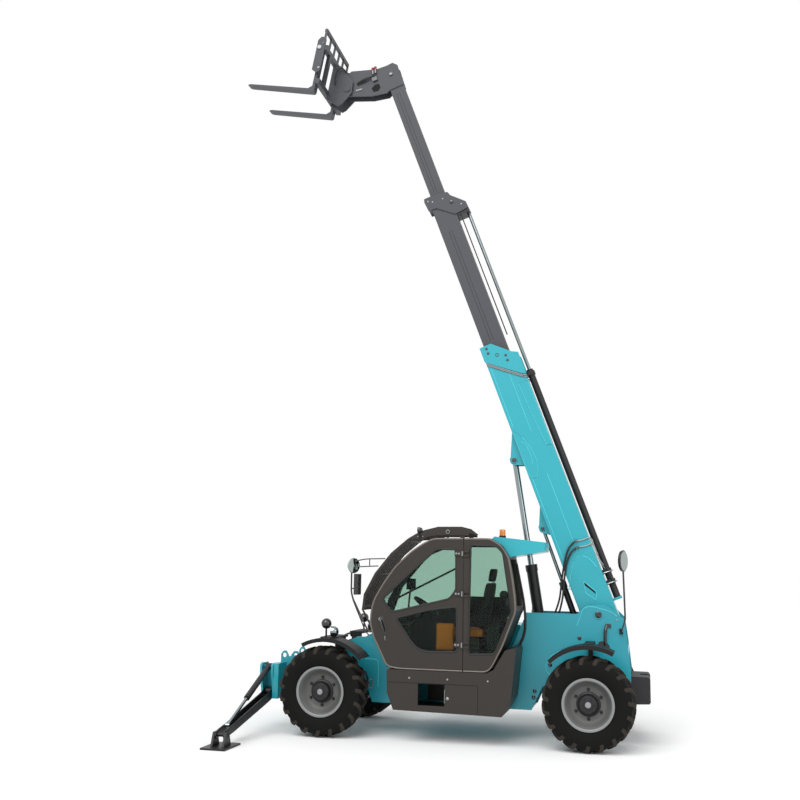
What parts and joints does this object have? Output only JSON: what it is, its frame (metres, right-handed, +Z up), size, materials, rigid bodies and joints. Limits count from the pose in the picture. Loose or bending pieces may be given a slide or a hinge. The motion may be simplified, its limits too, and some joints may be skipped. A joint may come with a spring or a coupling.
{
  "type": "telescopic handler",
  "caption": "Four-wheel rough-terrain telescopic handler with a raised telescoping boom, pallet-fork carriage, side cab and swing-down front stabilisers.",
  "frame": {"origin": "on the ground, at the middle of the part's box seen from above", "axes": "+X forward (the way the forks point), +Y to the left (cab side), +Z up"},
  "size_m": [5.8991, 4.9, 10.3472],
  "materials": {
    "turquoise_paint": "gloss",
    "charcoal_paint": "satin",
    "cab_paint": "satin",
    "cast_iron": "painted dark",
    "wheel_paint": "satin",
    "chrome_rod": "polished",
    "tyre_rubber": "matt",
    "hose_rubber": "matt",
    "tinted_glass": "clear tinted",
    "seat_cover": "matt",
    "black_plastic": "matt",
    "lamp_metal": "polished"
  },
  "bodies": {
    "chassis": {"frame": "turquoise_paint", "plate_left": "turquoise_paint", "plate_right": "turquoise_paint", "boom_hoses": "hose_rubber", "counterweight": "cast_iron", "front_axle": "cast_iron", "rear_axle": "cast_iron", "fenders": "black_plastic", "cab_floor": "cab_paint", "cab_side": "cab_paint", "cab_right": "cab_paint", "cab_rear": "cab_paint", "cab_roof": "cab_paint", "cab_skirt": "charcoal_paint", "front_guard": "charcoal_paint", "roof_cowl": "turquoise_paint", "cab_glass": "tinted_glass", "seat": "seat_cover", "console": "black_plastic", "engine_pod": "turquoise_paint", "engine_block": "cast_iron", "exhaust": "charcoal_paint", "lamps": "lamp_metal", "mirrors": "black_plastic"},
    "door": {"cab_door": "cab_paint", "door_glass": "tinted_glass"},
    "hood": {"engine_hood": "turquoise_paint"},
    "boom": {"boom_base": "turquoise_paint", "extension_barrel": "charcoal_paint"},
    "boom_mid": {"boom_mid": "charcoal_paint", "extension_rod": "chrome_rod"},
    "boom_tip": {"boom_tip": "charcoal_paint", "tilt_barrel": "charcoal_paint"},
    "carriage": {"carriage": "charcoal_paint", "forks": "charcoal_paint"},
    "tilt_rod": {"tilt_rod": "chrome_rod"},
    "lift_barrel": {"lift_barrel": "charcoal_paint"},
    "lift_rod": {"lift_rod": "chrome_rod"},
    "level_barrel": {"level_barrel": "charcoal_paint"},
    "level_rod": {"level_rod": "chrome_rod"},
    "leg_left": {"leg_left": "charcoal_paint"},
    "pad_left": {"pad_left": "charcoal_paint"},
    "leg_barrel_left": {"leg_barrel_left": "charcoal_paint"},
    "leg_rod_left": {"leg_rod_left": "chrome_rod"},
    "leg_right": {"leg_right": "charcoal_paint"},
    "pad_right": {"pad_right": "charcoal_paint"},
    "leg_barrel_right": {"leg_barrel_right": "charcoal_paint"},
    "leg_rod_right": {"leg_rod_right": "chrome_rod"},
    "knuckle_fl": {"knuckle_fl": "cast_iron"},
    "wheel_fl": {"tyre_fl": "tyre_rubber", "rim_fl": "wheel_paint"},
    "knuckle_fr": {"knuckle_fr": "cast_iron"},
    "wheel_fr": {"tyre_fr": "tyre_rubber", "rim_fr": "wheel_paint"},
    "knuckle_rl": {"knuckle_rl": "cast_iron"},
    "wheel_rl": {"tyre_rl": "tyre_rubber", "rim_rl": "wheel_paint"},
    "knuckle_rr": {"knuckle_rr": "cast_iron"},
    "wheel_rr": {"tyre_rr": "tyre_rubber", "rim_rr": "wheel_paint"}
  },
  "joints": [
    {"name": "boom_lift", "type": "hinge", "parent": "chassis", "child": "boom", "pos_m": [-2.30062, 0, 1.655], "axis": [0, -1, 0], "range_deg": [-73, 1], "deforming": ["boom_hoses"]},
    {"name": "boom_extend", "type": "slide", "parent": "boom", "child": "boom_mid", "axis": [0.3502, 0, 0.9367], "range_m": [-1.8, 0.6]},
    {"name": "tip_extend", "type": "slide", "parent": "boom_mid", "child": "boom_tip", "axis": [0.3502, 0, 0.9367], "range_m": [-1.8, 0.6]},
    {"name": "carriage_tilt", "type": "hinge", "parent": "boom_tip", "child": "carriage", "pos_m": [1.46506, 0, 9.55662], "axis": [0, 1, 0], "range_deg": [-74, 30]},
    {"name": "tilt_rod_slide", "type": "slide", "parent": "boom_tip", "child": "tilt_rod", "axis": [0.9679, 0, 0.2514], "range_m": [-0.2843, 0.1165]},
    {"name": "lift_swing", "type": "hinge", "parent": "chassis", "child": "lift_barrel", "pos_m": [-1.61062, 0, 0.75], "axis": [0, -1, 0], "range_deg": [-67.19, 1.02]},
    {"name": "lift_stroke", "type": "slide", "parent": "lift_barrel", "child": "lift_rod", "axis": [0.1529, 0, 0.9882], "range_m": [-1.3357, 0.0203]},
    {"name": "level_swing", "type": "hinge", "parent": "chassis", "child": "level_barrel", "pos_m": [-2.06062, 0, 1.335], "axis": [0, -1, 0], "range_deg": [-74.48, 1.12]},
    {"name": "level_stroke", "type": "slide", "parent": "level_barrel", "child": "level_rod", "axis": [0.3375, 0, 0.9413], "range_m": [-0.4769, 0.0085]},
    {"name": "leg_left_swing", "type": "hinge", "parent": "chassis", "child": "leg_left", "pos_m": [2.18938, 0.56, 0.49], "axis": [-1, 0, 0], "range_deg": [-78, 0]},
    {"name": "pad_left_tip", "type": "hinge", "parent": "leg_left", "child": "pad_left", "pos_m": [2.18938, 2.2, 0.15], "axis": [-1, 0, 0], "range_deg": [-25, 25]},
    {"name": "leg_left_barrel_swing", "type": "hinge", "parent": "chassis", "child": "leg_barrel_left", "pos_m": [2.18938, 0.625, 0.83], "axis": [-1, 0, 0], "range_deg": [-88.03, 0.1]},
    {"name": "leg_left_stroke", "type": "slide", "parent": "leg_barrel_left", "child": "leg_rod_left", "axis": [0, 0.9178, -0.3971], "range_m": [-0.3753, 0.002]},
    {"name": "leg_right_swing", "type": "hinge", "parent": "chassis", "child": "leg_right", "pos_m": [2.18938, -0.56, 0.49], "axis": [1, 0, 0], "range_deg": [-78, 0]},
    {"name": "pad_right_tip", "type": "hinge", "parent": "leg_right", "child": "pad_right", "pos_m": [2.18938, -2.2, 0.15], "axis": [1, 0, 0], "range_deg": [-25, 25]},
    {"name": "leg_right_barrel_swing", "type": "hinge", "parent": "chassis", "child": "leg_barrel_right", "pos_m": [2.18938, -0.625, 0.83], "axis": [1, 0, 0], "range_deg": [-88.03, 0.1]},
    {"name": "leg_right_stroke", "type": "slide", "parent": "leg_barrel_right", "child": "leg_rod_right", "axis": [0, -0.9178, -0.3971], "range_m": [-0.3753, 0.002]},
    {"name": "steer_fl", "type": "hinge", "parent": "chassis", "child": "knuckle_fl", "pos_m": [1.27438, 0.74, 0.585], "axis": [0, 0, 1], "range_deg": [-32, 32]},
    {"name": "spin_fl", "type": "hinge", "parent": "knuckle_fl", "child": "wheel_fl", "pos_m": [1.27438, 0.97, 0.585], "axis": [0, 1, 0], "continuous": true},
    {"name": "steer_fr", "type": "hinge", "parent": "chassis", "child": "knuckle_fr", "pos_m": [1.27438, -0.74, 0.585], "axis": [0, 0, 1], "range_deg": [-32, 32]},
    {"name": "spin_fr", "type": "hinge", "parent": "knuckle_fr", "child": "wheel_fr", "pos_m": [1.27438, -0.97, 0.585], "axis": [0, 1, 0], "continuous": true},
    {"name": "steer_rl", "type": "hinge", "parent": "chassis", "child": "knuckle_rl", "pos_m": [-2.19562, 0.74, 0.585], "axis": [0, 0, 1], "range_deg": [-32, 32]},
    {"name": "spin_rl", "type": "hinge", "parent": "knuckle_rl", "child": "wheel_rl", "pos_m": [-2.19562, 0.97, 0.585], "axis": [0, 1, 0], "continuous": true},
    {"name": "steer_rr", "type": "hinge", "parent": "chassis", "child": "knuckle_rr", "pos_m": [-2.19562, -0.74, 0.585], "axis": [0, 0, 1], "range_deg": [-32, 32]},
    {"name": "spin_rr", "type": "hinge", "parent": "knuckle_rr", "child": "wheel_rr", "pos_m": [-2.19562, -0.97, 0.585], "axis": [0, 1, 0], "continuous": true},
    {"name": "door_open", "type": "hinge", "parent": "chassis", "child": "door", "pos_m": [-0.62362, 1.144, 1.75], "axis": [0, 0, 1], "range_deg": [0, 95]},
    {"name": "hood_open", "type": "hinge", "parent": "chassis", "child": "hood", "pos_m": [0.38938, -0.78, 1.186], "axis": [0, 1, 0], "range_deg": [0, 55]}
  ],
  "couplings": [
    {"joint": "tip_extend", "follows": "boom_extend", "ratio": 1},
    {"joint": "tilt_rod_slide", "follows": "carriage_tilt", "m_per_rad": 0.21859},
    {"joint": "lift_swing", "follows": "boom_lift", "ratio": 0.91904},
    {"joint": "lift_stroke", "follows": "boom_lift", "m_per_rad": 1.0468},
    {"joint": "level_swing", "follows": "boom_lift", "ratio": 1.0189},
    {"joint": "level_stroke", "follows": "boom_lift", "m_per_rad": 0.3727},
    {"joint": "leg_left_barrel_swing", "follows": "leg_left_swing", "ratio": 1.1272},
    {"joint": "leg_left_stroke", "follows": "leg_left_swing", "m_per_rad": 0.27424},
    {"joint": "leg_right_barrel_swing", "follows": "leg_right_swing", "ratio": 1.1272},
    {"joint": "leg_right_stroke", "follows": "leg_right_swing", "m_per_rad": 0.27424},
    {"joint": "steer_fr", "follows": "steer_fl", "ratio": 1},
    {"joint": "steer_rr", "follows": "steer_rl", "ratio": 1}
  ]
}
